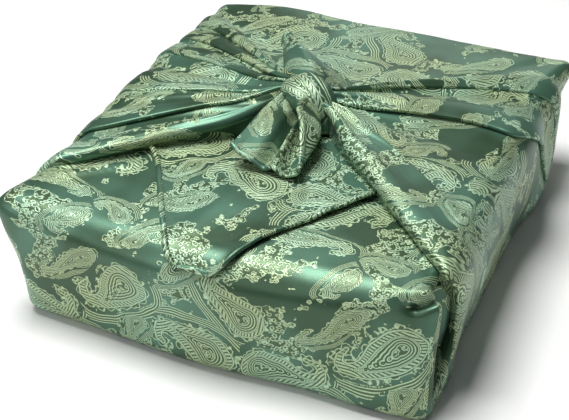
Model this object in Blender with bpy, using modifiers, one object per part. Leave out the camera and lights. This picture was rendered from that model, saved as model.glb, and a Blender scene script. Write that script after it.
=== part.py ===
"""Furoshiki: one square cloth wrapped round a flat parcel and tied on top.

Metres, +Z up, +X right, -Y front. The origin is the middle of the face that
the parcel rests on. The cloth is one piece, so it is one closed solid: the
wrapped parcel, the folded-over corner, two gathered corners, knot and tails.
"""

import math

import bmesh
import bpy
from mathutils import Vector

# Sizes of the wrapped parcel
WIDTH = 0.306
DEPTH = 0.364
HEIGHT = 0.096
HALF_WIDTH = WIDTH / 2
HALF_DEPTH = DEPTH / 2
EDGE_RADIUS = 0.011
EDGE_STEPS = 3
GRID_CUTS = 9
BULGE_ENDS = 0.016
BULGE_AT_FOOT = 0.8
BULGE_SIDES = 0.002
CORNER_FLARE = 0.009
CROWN = 0.003
FRONT_DROOP = 0.006
FRONT_REACH = HALF_DEPTH + BULGE_ENDS

# Soft pulls on the whole wrap, where the tie or a folded corner draws it out
# or in. Columns: place, reach, move.
PULLS = (
    ((-0.158, -0.172, 0.090), 0.065, (-0.009, -0.001, 0.002)),
    ((-0.152, 0.035, 0.098), 0.135, (-0.003, 0.000, 0.006)),
    ((-0.110, 0.175, 0.097), 0.110, (0.000, 0.003, 0.006)),
    ((0.155, 0.180, 0.094), 0.045, (0.006, 0.002, 0.002)),
    ((0.156, 0.185, 0.040), 0.085, (-0.005, 0.000, 0.000)),
    ((0.140, -0.185, 0.000), 0.100, (0.002, -0.010, 0.000)),
    ((-0.100, -0.185, 0.000), 0.130, (0.000, 0.005, 0.000)),
)

# Cloth
FLAP_THICKNESS = 0.0022
TAIL_THICKNESS = 0.0022
ROOT_DEPTH = 0.007
CLOTH_COLOUR = (0.16, 0.36, 0.25, 1.0)
CLOTH_ROUGHNESS = 0.42

# Resolution of the lofted forms
FAN_ALONG = 17
FAN_ACROSS = 40
FLAP_ALONG = 14
FLAP_ACROSS = 9
TAIL_ALONG = 9
TAIL_ACROSS = 14
CAP_ALONG = 9
CAP_AROUND = 16
CORE_AROUND = 16
CORE_UP = 10

# Path of each fan from the knot over the top edge and down the side.
# Columns: distance out from the middle, height, front edge y, back edge y.
LEFT_FAN = (
    (-0.004, 0.114, -0.008, 0.007),
    (0.014, 0.117, -0.017, 0.016),
    (0.028, 0.115, -0.030, 0.029),
    (0.048, 0.111, -0.049, 0.050),
    (0.075, 0.108, -0.072, 0.079),
    (0.108, 0.104, -0.094, 0.113),
    (0.134, 0.1005, -0.116, 0.139),
    (0.1470, 0.0965, -0.129, 0.152),
    (0.1550, 0.084, -0.136, 0.157),
    (0.1560, 0.050, -0.141, 0.156),
    (0.1540, 0.012, -0.143, 0.153),
    (0.1400, 0.003, -0.142, 0.148),
)
RIGHT_FAN = (
    (-0.006, 0.113, -0.006, 0.009),
    (0.014, 0.117, -0.016, 0.018),
    (0.028, 0.115, -0.028, 0.031),
    (0.048, 0.111, -0.044, 0.052),
    (0.075, 0.108, -0.070, 0.081),
    (0.108, 0.104, -0.106, 0.112),
    (0.134, 0.1005, -0.137, 0.133),
    (0.1490, 0.0965, -0.154, 0.142),
    (0.1570, 0.084, -0.160, 0.145),
    (0.1570, 0.050, -0.160, 0.144),
    (0.1490, 0.014, -0.164, 0.144),
    (0.1370, 0.003, -0.160, 0.142),
)

# Folds across a fan. Place 0 is its front edge and 1 its back edge.
# Columns: place at the knot, place at the edge, half width, height at the
# knot, height at the edge, height at the foot.
LEFT_FOLDS = (
    (0.10, 0.035, 0.045, 0.0060, 0.0055, 0.0025),
    (0.40, 0.240, 0.055, 0.0065, 0.0040, 0.0020),
    (0.56, 0.440, 0.090, 0.0050, 0.0030, 0.0035),
    (0.72, 0.700, 0.070, 0.0055, 0.0025, 0.0030),
    (0.85, 0.840, 0.045, 0.0055, 0.0035, 0.0025),
    (0.95, 0.945, 0.035, 0.0065, 0.0045, 0.0025),
)
RIGHT_FOLDS = (
    (0.10, 0.035, 0.045, 0.0065, 0.0055, 0.0030),
    (0.36, 0.200, 0.070, 0.0055, 0.0045, 0.0030),
    (0.70, 0.700, 0.110, 0.0060, 0.0050, 0.0030),
    (0.94, 0.945, 0.045, 0.0060, 0.0045, 0.0035),
)

# Where an upper layer of a fan ends over a lower one: place at the knot,
# place at the edge, height of the step, sharpness of the step.
LEFT_LAYER = (0.33, 0.175, 0.0035, 0.012)
RIGHT_LAYER = (0.50, 0.585, 0.0040, 0.012)

# Shares of a fan's path, 0 at the knot and 1 at the foot, between which its
# folds spread apart and then die down.
FOLDS_SPREAD = (0.0, 0.55)
FOLDS_DIE = (0.60, 0.95)
FOOT_LAYER_SHARE = 0.6
BACK_FADE = (0.88, 1.0)
RIM_WIDTH = 0.035
RIM_TUCK = 0.004
LOWEST = 0.002

# Distances out from the middle between which a fan leaves the crown of the
# top and takes up the swell of the side.
CROWN_LEFT = (0.11, 0.15)
SWELL_TAKEN = (0.10, 0.15)
PATH_STEP = 0.01

# The far corner folded over the top, as rows from under the knot to its tip.
# Columns: distance forward of the middle, left edge x, right edge x.
FLAP = (
    (0.020, -0.060, 0.052),
    (0.050, -0.082, 0.070),
    (0.076, -0.097, 0.084),
    (0.100, -0.081, 0.073),
    (0.132, -0.063, 0.052),
    (0.162, -0.046, 0.031),
    (0.180, -0.035, 0.021),
    (0.192, -0.027, 0.014),
    (0.199, -0.017, 0.006),
)

# The packed cloth inside the knot: middle and half sizes.
KNOT_MIDDLE = (0.000, -0.001, 0.1155)
KNOT_HALF_SIZE = (0.0210, 0.0200, 0.0180)

# The band of the knot that shows on top, from the left behind to the right.
# Columns: x, y, z, half width across, half thickness.
KNOT_CAP = (
    (-0.020, 0.006, 0.104, 0.010, 0.010),
    (-0.014, 0.004, 0.120, 0.015, 0.011),
    (-0.003, -0.004, 0.127, 0.019, 0.011),
    (0.010, -0.010, 0.123, 0.019, 0.011),
    (0.018, -0.016, 0.112, 0.016, 0.010),
    (0.020, -0.018, 0.100, 0.011, 0.008),
)

# Cross sections of the tails, from the knot to the hem. Each row is one
# section: its left lip, left wall, hollow, right wall and right lip.
FRONT_TAIL = (
    (
        (-0.008, -0.003, 0.120),
        (-0.005, -0.004, 0.116),
        (0.000, -0.005, 0.113),
        (0.006, -0.004, 0.116),
        (0.005, -0.003, 0.122),
    ),
    (
        (-0.014, -0.032, 0.128),
        (-0.008, -0.034, 0.118),
        (0.001, -0.036, 0.112),
        (0.018, -0.029, 0.115),
        (0.003, -0.033, 0.130),
    ),
    (
        (-0.021, -0.060, 0.126),
        (-0.011, -0.064, 0.114),
        (0.002, -0.066, 0.108),
        (0.027, -0.052, 0.112),
        (0.014, -0.056, 0.127),
    ),
    (
        (-0.025, -0.086, 0.122),
        (-0.012, -0.092, 0.111),
        (0.004, -0.097, 0.106),
        (0.020, -0.098, 0.106),
        (0.026, -0.096, 0.111),
    ),
)
BACK_TAIL = (
    (
        (-0.009, 0.004, 0.112),
        (-0.008, 0.004, 0.117),
        (-0.003, 0.005, 0.121),
        (0.004, 0.005, 0.117),
        (0.008, 0.004, 0.112),
    ),
    (
        (-0.034, 0.030, 0.108),
        (-0.029, 0.032, 0.119),
        (-0.014, 0.036, 0.126),
        (0.006, 0.040, 0.114),
        (0.018, 0.040, 0.102),
    ),
    (
        (-0.047, 0.062, 0.106),
        (-0.043, 0.064, 0.116),
        (-0.032, 0.068, 0.123),
        (-0.014, 0.070, 0.111),
        (0.002, 0.072, 0.101),
    ),
    (
        (-0.062, 0.096, 0.110),
        (-0.062, 0.098, 0.115),
        (-0.060, 0.102, 0.119),
        (-0.053, 0.099, 0.111),
        (-0.044, 0.096, 0.102),
    ),
)


def clear_scene():
    for found in list(bpy.data.objects):
        bpy.data.objects.remove(found, do_unlink=True)


def collection_of(name):
    made = bpy.data.collections.new(name)
    bpy.context.scene.collection.children.link(made)
    return made


def curve_through(rows, place):
    """Point at place, 0 to 1, on a smooth curve through rows of numbers."""
    spans = len(rows) - 1
    reach = min(max(place, 0.0), 1.0) * spans
    index = min(int(reach), spans - 1)
    step = reach - index
    before = rows[max(index - 1, 0)]
    start = rows[index]
    end = rows[index + 1]
    after = rows[min(index + 2, spans)]
    values = []
    for a, b, c, d in zip(before, start, end, after):
        pull_in = (c - a) / 2
        pull_out = (d - b) / 2
        bend = 3 * (c - b) - 2 * pull_in - pull_out
        close = 2 * (b - c) + pull_in + pull_out
        values.append(b + step * (pull_in + step * (bend + step * close)))
    return values


def blend(low, high, share):
    return low + (high - low) * share


def ease(value, start, end):
    share = min(max((value - start) / (end - start), 0.0), 1.0)
    return share * share * (3 - 2 * share)


def swell_depth(x, z):
    """Half depth of the parcel, fuller in the middle of a face and at its top."""
    across = max(1 - (x / HALF_WIDTH) ** 2, 0.0)
    return HALF_DEPTH + BULGE_ENDS * across * blend(BULGE_AT_FOOT, 1.0, z / HEIGHT)


def swell_width(y, z):
    """Half width of the parcel, drawn in by the tie between its top corners."""
    across = max(1 - (y / HALF_DEPTH) ** 2, 0.0)
    flare = CORNER_FLARE * (y / HALF_DEPTH) ** 4 * z / HEIGHT
    return HALF_WIDTH + BULGE_SIDES * across + flare


def top_height(x, y):
    """Height of the top, which sinks softly towards its front edge."""
    across = max(1 - (x / HALF_WIDTH) ** 2, 0.0)
    along = max(1 - (y / HALF_DEPTH) ** 2, 0.0)
    droop = FRONT_DROOP * max(-y / FRONT_REACH, 0.0) ** 6
    return HEIGHT + CROWN * across * along - droop


def pulled(point):
    """A point of the wrap after the soft pulls. The flat base stays flat."""
    move = Vector((0.0, 0.0, 0.0))
    for place, reach, pull in PULLS:
        near = max(1 - ((point - Vector(place)).length / reach) ** 2, 0.0)
        move += Vector(pull) * near**3
    move.z *= min(point.z / HEIGHT, 1.0) ** 2
    return point + move


def mesh_object(name, shape, collection):
    for point in shape.verts:
        point.co = pulled(point.co)
    mesh = bpy.data.meshes.new(name)
    bmesh.ops.recalc_face_normals(shape, faces=shape.faces)
    shape.to_mesh(mesh)
    shape.free()
    made = bpy.data.objects.new(name, mesh)
    collection.objects.link(made)
    return made


def parcel(collection):
    """The wrapped parcel: a box with round edges, swollen sides and a crown."""
    shape = bmesh.new()
    bmesh.ops.create_cube(shape, size=1.0)
    for corner in shape.verts:
        corner.co.x *= WIDTH
        corner.co.y *= DEPTH
        corner.co.z = (corner.co.z + 0.5) * HEIGHT
    bmesh.ops.bevel(
        shape,
        geom=shape.edges[:],
        offset=EDGE_RADIUS,
        segments=EDGE_STEPS,
        profile=0.5,
        affect="EDGES",
    )
    long_edges = [edge for edge in shape.edges if edge.calc_length() > HEIGHT / 2]
    bmesh.ops.subdivide_edges(shape, edges=long_edges, cuts=GRID_CUTS, use_grid_fill=True)
    for point in shape.verts:
        x, y, z = point.co
        point.co.x = x * swell_width(y, z) / HALF_WIDTH
        point.co.y = y * swell_depth(x, z) / HALF_DEPTH
        lift = top_height(point.co.x, point.co.y) - HEIGHT
        point.co.z = z + lift * (z / HEIGHT) ** 2
    return mesh_object("wrap_cloth", shape, collection)


def loft(name, rings, collection):
    """A closed body through rings of points, with a flat cap at each end."""
    shape = bmesh.new()
    made = [[shape.verts.new(point) for point in ring] for ring in rings]
    count = len(made[0])
    for near, far in zip(made, made[1:]):
        for index in range(count):
            after = (index + 1) % count
            shape.faces.new((near[index], near[after], far[after], far[index]))
    shape.faces.new(made[0])
    shape.faces.new(list(reversed(made[-1])))
    return mesh_object(name, shape, collection)


def fold_height(folds, layer, along, across):
    """Height of a fan's folds over its base, at a place along and across it."""
    spread = ease(along, *FOLDS_SPREAD)
    fall = ease(along, *FOLDS_DIE)
    height = 0.0
    for knot_place, edge_place, width, knot_high, edge_high, foot_high in folds:
        place = blend(knot_place, edge_place, spread)
        high = blend(blend(knot_high, edge_high, spread), foot_high, fall)
        height += high * math.exp(-(((across - place) / width) ** 2))
    knot_place, edge_place, step_height, sharpness = layer
    place = blend(knot_place, edge_place, spread)
    upper = ease(across, place - sharpness, place + sharpness)
    back_fade = 1 - ease(across, *BACK_FADE)
    return height + step_height * upper * back_fade * blend(1.0, FOOT_LAYER_SHARE, fall)


def fan(name, side, path, folds, layer, collection):
    """A gathered corner of the cloth, from its foot up over the edge to the knot."""
    rings = []
    for row in range(FAN_ALONG + 1):
        along = row / FAN_ALONG
        out, height, front, back = curve_through(path, along)
        ahead = curve_through(path, along + PATH_STEP)
        behind = curve_through(path, along - PATH_STEP)
        run = Vector((ahead[0] - behind[0], 0.0, ahead[1] - behind[1]))
        outward = Vector((-run.z, 0.0, run.x)).normalized()
        hang = ease(out, *SWELL_TAKEN)
        crown_share = 1 - ease(out, *CROWN_LEFT)
        upper = []
        lower = []
        for column in range(FAN_ACROSS + 1):
            across = column / FAN_ACROSS
            y = blend(front, back, across)
            swell = (swell_width(y, height) - HALF_WIDTH) * hang
            crown = (top_height(out, y) - HEIGHT) * crown_share
            base = Vector((out + swell, y, height + crown))
            rim = ease(min(across, 1 - across), 0.0, RIM_WIDTH)
            folds_here = fold_height(folds, layer, along, across)
            skin = base + outward * (folds_here * rim - RIM_TUCK * (1 - rim))
            root = base - outward * ROOT_DEPTH
            root.z = min(root.z, HEIGHT - ROOT_DEPTH)
            upper.append((side * skin.x, skin.y, max(skin.z, LOWEST)))
            lower.append((side * root.x, root.y, max(root.z, LOWEST)))
        rings.append(upper + lower[::-1])
    return loft(name, rings, collection)


def front_edge(x, forward):
    """Skin of the parcel at a distance forward of the middle, over the top edge."""
    edge = swell_depth(x, HEIGHT) - EDGE_RADIUS
    past = forward - edge
    if past <= 0:
        return -forward, top_height(x, -forward), Vector((0, 0, 1))
    angle = min(past / EDGE_RADIUS, math.pi / 2)
    down = past - EDGE_RADIUS * angle
    outward = Vector((0, -math.sin(angle), math.cos(angle)))
    y = -edge - EDGE_RADIUS * math.sin(angle)
    z = top_height(x, -edge) - EDGE_RADIUS * (1 - math.cos(angle)) - down
    return y, z, outward


def flap(collection):
    """The far corner of the cloth, laid over the top to the near edge."""
    rings = []
    for row in range(FLAP_ALONG + 1):
        forward, left, right = curve_through(FLAP, row / FLAP_ALONG)
        upper = []
        lower = []
        for column in range(FLAP_ACROSS + 1):
            x = blend(left, right, column / FLAP_ACROSS)
            y, z, outward = front_edge(x, forward)
            skin = Vector((x, y, z))
            upper.append(skin + outward * FLAP_THICKNESS)
            lower.append(skin - outward * ROOT_DEPTH / 2)
        rings.append(upper + lower[::-1])
    return loft("folded_corner", rings, collection)


def knot_core(collection):
    """The packed cloth that the gathered corners and both tails run into."""
    shape = bmesh.new()
    bmesh.ops.create_uvsphere(
        shape, u_segments=CORE_AROUND, v_segments=CORE_UP, radius=1.0
    )
    for point in shape.verts:
        for axis in range(3):
            point.co[axis] = KNOT_MIDDLE[axis] + KNOT_HALF_SIZE[axis] * point.co[axis]
    return mesh_object("knot_core", shape, collection)


def knot_cap(collection):
    """The broad turn of cloth that crosses over the knot."""
    rings = []
    for row in range(CAP_ALONG + 1):
        along = row / CAP_ALONG
        x, y, z, wide, thick = curve_through(KNOT_CAP, along)
        ahead = Vector(curve_through(KNOT_CAP, along + PATH_STEP)[:3])
        behind = Vector(curve_through(KNOT_CAP, along - PATH_STEP)[:3])
        run = (ahead - behind).normalized()
        across = Vector((-run.y, run.x, 0.0)).normalized()
        up = run.cross(across)
        ring = []
        for index in range(CAP_AROUND):
            angle = 2 * math.pi * index / CAP_AROUND
            swing = across * math.cos(angle) * wide + up * math.sin(angle) * thick
            ring.append(Vector((x, y, z)) + swing)
        rings.append(ring)
    return loft("knot_cap", rings, collection)


def tail(name, sections, collection):
    """A free corner of the cloth: a thin sheet through its cross sections."""
    shape = bmesh.new()
    grid = []
    flat_rows = [[number for point in section for number in point] for section in sections]
    for row in range(TAIL_ALONG + 1):
        numbers = curve_through(flat_rows, row / TAIL_ALONG)
        section = [numbers[start : start + 3] for start in range(0, len(numbers), 3)]
        line = []
        for column in range(TAIL_ACROSS + 1):
            line.append(shape.verts.new(curve_through(section, column / TAIL_ACROSS)))
        grid.append(line)
    for near, far in zip(grid, grid[1:]):
        for index in range(TAIL_ACROSS):
            shape.faces.new((near[index], near[index + 1], far[index + 1], far[index]))
    made = mesh_object(name, shape, collection)
    thick = made.modifiers.new("cloth thickness", "SOLIDIFY")
    thick.thickness = TAIL_THICKNESS
    thick.offset = 0.0
    return made


def join_to(body, pieces):
    """Joins each piece to the body, and hides the piece itself."""
    for piece in pieces:
        piece.hide_render = True
        piece.display_type = "WIRE"
        union = body.modifiers.new("join " + piece.name, "BOOLEAN")
        union.operation = "UNION"
        union.solver = "EXACT"
        union.object = piece


def cloth_material():
    made = bpy.data.materials.new("satin jacquard")
    made.use_nodes = True
    surface = made.node_tree.nodes["Principled BSDF"]
    surface.inputs["Base Color"].default_value = CLOTH_COLOUR
    surface.inputs["Roughness"].default_value = CLOTH_ROUGHNESS
    surface.inputs["Metallic"].default_value = 0.0
    return made


def build():
    clear_scene()
    part = collection_of("furoshiki wrap")
    helpers = collection_of("forms joined to the cloth")
    cloth = parcel(part)
    pieces = [
        flap(helpers),
        knot_core(helpers),
        fan("left_fan", -1, LEFT_FAN, LEFT_FOLDS, LEFT_LAYER, helpers),
        fan("right_fan", 1, RIGHT_FAN, RIGHT_FOLDS, RIGHT_LAYER, helpers),
        knot_cap(helpers),
        tail("front_tail", FRONT_TAIL, helpers),
        tail("back_tail", BACK_TAIL, helpers),
    ]
    join_to(cloth, pieces)
    cloth.data.materials.append(cloth_material())


build()
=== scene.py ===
# %% [markdown]
# # A furoshiki in green satin jacquard
#
# A furoshiki is one square cloth. Here it is wrapped round a flat parcel: the
# near corner goes up the front and over the top, the far corner is laid over
# it, and the side corners are gathered and tied in a knot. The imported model
# is the frame that all of this has to fit.

import math

import bmesh
import bpy
import numpy as np
from mathutils import Matrix, Vector, noise


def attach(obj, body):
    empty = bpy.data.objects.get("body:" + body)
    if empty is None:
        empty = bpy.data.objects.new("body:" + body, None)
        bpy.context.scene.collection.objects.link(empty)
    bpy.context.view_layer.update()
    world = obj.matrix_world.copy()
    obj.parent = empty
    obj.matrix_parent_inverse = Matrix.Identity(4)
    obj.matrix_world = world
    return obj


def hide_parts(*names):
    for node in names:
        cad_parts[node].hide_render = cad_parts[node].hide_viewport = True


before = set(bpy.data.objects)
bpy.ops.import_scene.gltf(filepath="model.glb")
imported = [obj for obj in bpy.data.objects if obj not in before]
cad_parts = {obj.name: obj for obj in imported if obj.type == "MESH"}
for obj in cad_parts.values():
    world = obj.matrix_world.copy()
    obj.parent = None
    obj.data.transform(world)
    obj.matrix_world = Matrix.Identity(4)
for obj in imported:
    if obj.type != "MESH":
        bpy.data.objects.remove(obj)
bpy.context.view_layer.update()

# %% [markdown]
# The camera is a plain one with a long lens. A long lens keeps the parcel's
# edges nearly parallel, as they are in the picture, and its axes are written
# as three directions, which is easier to check than three angles.

# %% Camera, floor and light
CAMERA_PLACE = Vector((0.32945, -0.84138, 0.58285))
CAMERA_RIGHT = Vector((0.92437, 0.38143, -0.00677))
CAMERA_UP = Vector((-0.19670, 0.49174, 0.84823))
CAMERA_LENS = 84.99
SENSOR_WIDTH = 36.0
FLOOR_SIZE = 6.0
FLOOR_COLOUR = (0.92, 0.92, 0.91, 1.0)

# Softboxes. Columns: name, place, aim, size, watts.
SOFTBOXES = (
    ("key softbox", (-0.35, 0.00, 1.70), (0.0, 0.0, 0.05), 0.80, 34.0),
    ("front softbox", (-0.90, -1.60, 1.20), (0.0, -0.1, 0.05), 0.90, 9.0),
    ("back softbox", (-0.30, 1.60, 0.80), (0.0, 0.0, 0.08), 0.60, 2.0),
)
SKY_COLOUR = (0.85, 0.88, 0.88, 1.0)
SKY_STRENGTH = 0.13


def add_camera():
    data = bpy.data.cameras.new("camera")
    data.sensor_width = SENSOR_WIDTH
    data.lens = CAMERA_LENS
    data.clip_start = 0.01
    made = bpy.data.objects.new("camera", data)
    back = CAMERA_RIGHT.cross(CAMERA_UP)
    turn = Matrix((CAMERA_RIGHT, CAMERA_UP, back)).transposed().to_4x4()
    made.matrix_world = Matrix.Translation(CAMERA_PLACE) @ turn
    bpy.context.scene.collection.objects.link(made)
    bpy.context.scene.camera = made


def add_softbox(name, place, aim, size, watts):
    data = bpy.data.lights.new(name, "AREA")
    data.shape = "SQUARE"
    data.size = size
    data.energy = watts
    made = bpy.data.objects.new(name, data)
    made.location = place
    made.rotation_euler = (Vector(aim) - Vector(place)).to_track_quat("-Z", "Y").to_euler()
    bpy.context.scene.collection.objects.link(made)


def add_floor():
    bpy.ops.mesh.primitive_plane_add(size=FLOOR_SIZE)
    made = bpy.context.object
    made.name = "studio_floor"
    paint = bpy.data.materials.new("pale floor")
    paint.use_nodes = True
    surface = paint.node_tree.nodes["Principled BSDF"]
    surface.inputs["Base Color"].default_value = FLOOR_COLOUR
    surface.inputs["Roughness"].default_value = 0.9
    made.data.materials.append(paint)


def light_the_air():
    world = bpy.data.worlds.new("soft studio")
    world.use_nodes = True
    background = world.node_tree.nodes["Background"]
    background.inputs["Color"].default_value = SKY_COLOUR
    background.inputs["Strength"].default_value = SKY_STRENGTH
    bpy.context.scene.world = world


add_camera()
for row in SOFTBOXES:
    add_softbox(*row)
add_floor()
light_the_air()
bpy.context.scene.view_settings.view_transform = "Standard"
print("camera, floor and", len(SOFTBOXES), "softboxes")

# %% [markdown]
# The parcel's sizes are those of the frame. The cloth bulges out on its front
# and back, is drawn in between its top corners by the tie, and sinks softly
# towards its front edge. These few rules are used by every piece that lies
# on the parcel, so they come first.

# %% Sizes of the parcel
WIDTH = 0.306
DEPTH = 0.364
HEIGHT = 0.096
HALF_WIDTH = WIDTH / 2
HALF_DEPTH = DEPTH / 2
EDGE_RADIUS = 0.011
FRONT_ROUND = 0.012
BULGE_ENDS = 0.016
BULGE_AT_FOOT = 0.8
BULGE_SIDES = 0.002
CORNER_FLARE = 0.009
CROWN = 0.003
FRONT_DROOP = 0.006
FRONT_REACH = HALF_DEPTH + BULGE_ENDS
LOWEST = 0.0004


def blend(low, high, share):
    return low + (high - low) * share


def ease(value, start, end):
    share = np.clip((value - start) / (end - start), 0.0, 1.0)
    return share * share * (3 - 2 * share)


def curve_through(rows, places):
    """Points at places, 0 to 1, on a smooth curve through rows of numbers."""
    rows = np.asarray(rows, float)
    spans = len(rows) - 1
    reach = np.clip(places, 0.0, 1.0) * spans
    index = np.minimum(reach.astype(int), spans - 1)
    step = (reach - index).reshape(reach.shape + (1,) * (rows.ndim - 1))
    before = rows[np.maximum(index - 1, 0)]
    start = rows[index]
    end = rows[index + 1]
    after = rows[np.minimum(index + 2, spans)]
    pull_in = (end - before) / 2
    pull_out = (after - start) / 2
    bend = 3 * (end - start) - 2 * pull_in - pull_out
    close = 2 * (start - end) + pull_in + pull_out
    return start + step * (pull_in + step * (bend + step * close))


def edge_radius(x, y, z):
    """Radius of the parcel's edges: the cloth bends softly over the front one."""
    forward = ease(-y / HALF_DEPTH, 0.4, 1.0)
    high = ease(z / HEIGHT, 0.35, 1.0)
    middle = np.maximum(1 - (x / HALF_WIDTH) ** 4, 0.0)
    return EDGE_RADIUS + FRONT_ROUND * forward * high * middle


def swell_depth(x, z):
    """Half depth of the parcel, fuller in the middle of a face and at its top."""
    across = np.maximum(1 - (x / HALF_WIDTH) ** 2, 0.0)
    return HALF_DEPTH + BULGE_ENDS * across * blend(BULGE_AT_FOOT, 1.0, z / HEIGHT)


def swell_width(y, z):
    """Half width of the parcel, drawn in by the tie between its top corners."""
    across = np.maximum(1 - (y / HALF_DEPTH) ** 2, 0.0)
    flare = CORNER_FLARE * (y / HALF_DEPTH) ** 4 * z / HEIGHT
    return HALF_WIDTH + BULGE_SIDES * across + flare


def top_height(x, y):
    """Height of the top, which sinks softly towards its front edge."""
    across = np.maximum(1 - (x / HALF_WIDTH) ** 2, 0.0)
    along = np.maximum(1 - (y / HALF_DEPTH) ** 2, 0.0)
    droop = FRONT_DROOP * np.maximum(-y / FRONT_REACH, 0.0) ** 6
    return HEIGHT + CROWN * across * along - droop


# Soft pulls on the whole wrap, where the tie or a folded corner draws it out
# or in: those of the frame, then two small ones at the foot of the right side.
# Columns: place, reach, move.
PULLS = (
    ((-0.158, -0.172, 0.090), 0.065, (-0.009, -0.001, 0.002)),
    ((-0.152, 0.035, 0.098), 0.135, (-0.003, 0.000, 0.006)),
    ((-0.110, 0.175, 0.097), 0.110, (0.000, 0.003, 0.006)),
    ((0.155, 0.180, 0.094), 0.045, (0.006, 0.002, 0.002)),
    ((0.156, 0.185, 0.040), 0.085, (-0.005, 0.000, 0.000)),
    ((0.140, -0.185, 0.000), 0.100, (0.002, -0.010, 0.000)),
    ((-0.100, -0.185, 0.000), 0.130, (0.000, 0.005, 0.000)),
    ((0.152, 0.108, 0.004), 0.080, (0.008, 0.000, 0.000)),
    ((0.152, -0.158, 0.004), 0.060, (0.006, -0.002, 0.000)),
)


def pulled(points):
    """Points of the wrap after the soft pulls. The flat base stays flat."""
    move = np.zeros_like(points)
    for place, reach, pull in PULLS:
        away = np.linalg.norm(points - np.array(place), axis=-1) / reach
        near = np.maximum(1 - away**2, 0.0) ** 3
        move += near[..., None] * np.array(pull)
    move[..., 2] *= np.minimum(points[..., 2] / HEIGHT, 1.0) ** 2
    return points + move


print("parcel", WIDTH, DEPTH, HEIGHT)

# %% [markdown]
# Cloth is a grid of points that is bent. Each stretch of it is kept as such a
# grid, with the place of every point on the flat cloth beside it: that is the
# UV map, in metres, so the woven pattern keeps its scale wherever the cloth
# goes. Joining the stretches at the end gives one mesh.

# %% Stretches of cloth
stretches = []


def add_stretch(points, cloth_places, outward=None):
    """Keeps a grid of points, turned so that its faces look outward."""
    points = pulled(np.asarray(points, float))
    cloth_places = np.asarray(cloth_places, float)
    if outward is not None:
        along = points[1:, :-1] - points[:-1, :-1]
        across = points[:-1, 1:] - points[:-1, :-1]
        facing = np.cross(across, along)
        if (facing * outward[:-1, :-1]).sum() < 0:
            points = points[:, ::-1]
            cloth_places = cloth_places[:, ::-1]
    stretches.append((points, cloth_places))
    return points


def grid_normals(points):
    """Unit normals of a grid of points, from across and along it."""
    along = np.gradient(points, axis=0)
    across = np.gradient(points, axis=1)
    facing = np.cross(across, along)
    size = np.linalg.norm(facing, axis=2, keepdims=True)
    return facing / np.maximum(size, 1e-12)


def rough(points, scale, seed):
    """Smooth noise, about -1 to 1, at points scaled to the size of its lumps."""
    shift = Vector((seed * 17.3, seed * 5.1, seed * 9.7))
    flat = (np.asarray(points, float) / scale).reshape(-1, 3)
    values = [noise.noise(Vector(point) + shift) for point in flat]
    return np.array(values).reshape(points.shape[:-1])


def lengths_along(points, axis):
    """Distance travelled along a grid's axis, from its first row or column."""
    steps = np.linalg.norm(np.diff(points, axis=axis), axis=2)
    start = np.zeros_like(np.take(steps, [0], axis=axis))
    return np.concatenate((start, np.cumsum(steps, axis=axis)), axis=axis)


# %% [markdown]
# The main creases are laid one by one, as the tie pulls them: each is a short
# line on the parcel with a width and a depth. A line presses a soft trough
# into the cloth, or with a minus sign raises a ridge, and points near it
# move in or out.

# %% Creases pressed into a surface
# Columns: points of the line, half width, depth.
BODY_CREASES = (
    (((0.158, -0.174, 0.093), (0.150, -0.181, 0.090), (0.141, -0.184, 0.086)), 0.0032, 0.0080),
    (((0.160, -0.170, 0.101), (0.148, -0.177, 0.098), (0.126, -0.184, 0.093)), 0.0070, -0.0050),
    (((0.160, -0.160, 0.094), (0.157, -0.156, 0.050), (0.153, -0.162, 0.003)), 0.0095, 0.0300),
    (((0.150, -0.158, 0.070), (0.146, -0.158, 0.040), (0.148, -0.164, 0.008)), 0.0018, -0.0060),
    (((0.150, -0.185, 0.079), (0.120, -0.194, 0.066), (0.080, -0.198, 0.058)), 0.0140, 0.0016),
    (((-0.150, -0.185, 0.088), (-0.120, -0.194, 0.070), (-0.070, -0.198, 0.060)), 0.0150, 0.0014),
    (((-0.140, -0.130, 0.097), (-0.120, -0.111, 0.097), (-0.095, -0.094, 0.097)), 0.0040, 0.0022),
    (((-0.138, -0.137, 0.097), (-0.118, -0.119, 0.097), (-0.098, -0.104, 0.097)), 0.0050, -0.0022),
    (((-0.146, -0.150, 0.096), (-0.120, -0.150, 0.096), (-0.090, -0.140, 0.096)), 0.0120, 0.0012),
    (((0.135, -0.150, 0.096), (0.110, -0.118, 0.096), (0.085, -0.085, 0.097)), 0.0090, 0.0016),
    (((0.000, 0.010, 0.099), (0.060, 0.080, 0.098), (0.140, 0.172, 0.096)), 0.0090, 0.0016),
    (((-0.010, 0.015, 0.099), (-0.030, 0.090, 0.098), (-0.060, 0.170, 0.096)), 0.0100, 0.0014),
    (((0.030, 0.010, 0.099), (0.090, 0.060, 0.098), (0.150, 0.120, 0.096)), 0.0070, -0.0016),
    (((-0.090, -0.194, 0.030), (0.000, -0.196, 0.022), (0.090, -0.194, 0.032)), 0.0180, 0.0014),
)


def distance_to_line(points, line):
    """Distance from each point to a line of straight pieces."""
    nearest = np.full(points.shape[:-1], 1e9)
    for start, end in zip(np.asarray(line[:-1], float), np.asarray(line[1:], float)):
        run = end - start
        share = np.clip(((points - start) @ run) / (run @ run), 0.0, 1.0)
        offset = points - (start + share[..., None] * run)
        nearest = np.minimum(nearest, np.linalg.norm(offset, axis=-1))
    return nearest


def pressed(points, creases):
    """How far in each point lies because of the creases near it."""
    depth = np.zeros(points.shape[:-1])
    for line, half_width, deep in creases:
        fine = curve_through(np.asarray(line, float), np.linspace(0, 1, 9))
        depth += deep * np.exp(-((distance_to_line(points, fine) / half_width) ** 2))
    return depth


# %% [markdown]
# The parcel itself is a box with round edges. Each face is a grid drawn over
# the face and half of its roundings, with its lines closer together near the
# edges, where the surface turns. Then the swell, the creases and a slight
# unevenness move the points.

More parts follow.
